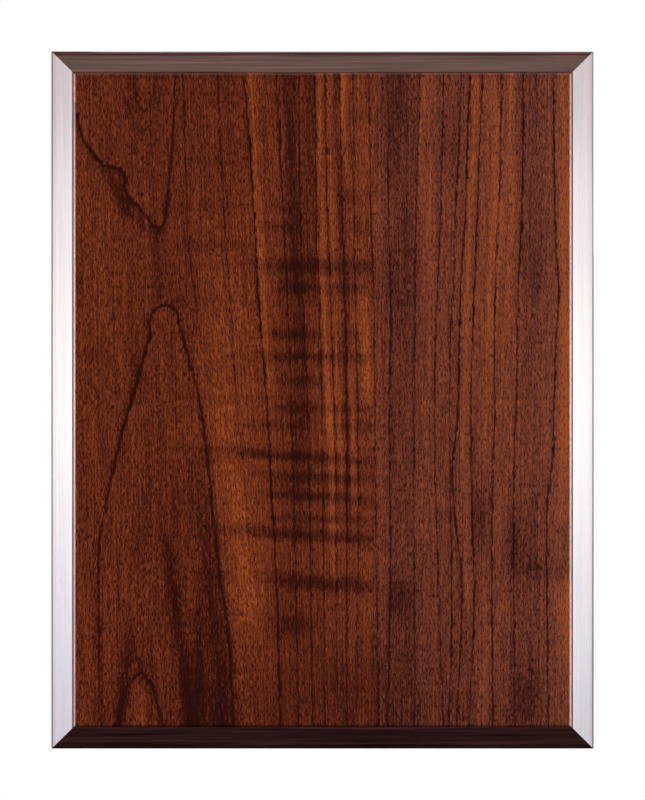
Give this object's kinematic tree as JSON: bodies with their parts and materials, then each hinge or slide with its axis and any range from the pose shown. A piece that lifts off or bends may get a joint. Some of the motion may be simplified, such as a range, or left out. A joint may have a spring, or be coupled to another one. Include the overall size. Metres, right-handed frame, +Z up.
{
  "type": "wooden wall plaque",
  "caption": "Rectangular wall plaque with a figured wood face, a mitred and bevelled dark edge, and flush keyhole hangers at the back for hanging upright or on its side.",
  "frame": {"origin": "centre of the backing sheet's rear face, which rests on the wall", "axes": "+Y out of the back into the wall, so the front faces -Y; +Z up along the plaque's height; +X to the right as seen from the front"},
  "size_m": [0.1778, 0.0159, 0.2286],
  "materials": {
    "fibreboard": "raw fibreboard, matt",
    "cherry_veneer": "red-brown stained figured veneer, satin lacquer",
    "backing_paper": "dark brown backing paper, matt",
    "dark_walnut": "dark stained hardwood under gloss lacquer",
    "nail_steel": "bright strip steel",
    "zinc_plate": "zinc-plated pressed steel",
    "screw_steel": "zinc-plated screw"
  },
  "bodies": {
    "root": {"core_board": "fibreboard", "face_veneer": "cherry_veneer", "backing_sheet": "backing_paper", "moulding_top": "dark_walnut", "moulding_bottom": "dark_walnut", "moulding_left": "dark_walnut", "moulding_right": "dark_walnut", "mitre_nail_top_left": "nail_steel", "mitre_nail_top_right": "nail_steel", "mitre_nail_bottom_left": "nail_steel", "mitre_nail_bottom_right": "nail_steel", "hanger_plate_top": "zinc_plate", "hanger_plate_side": "zinc_plate", "hanger_screws_top": "screw_steel", "hanger_screws_side": "screw_steel"}
  },
  "joints": []
}
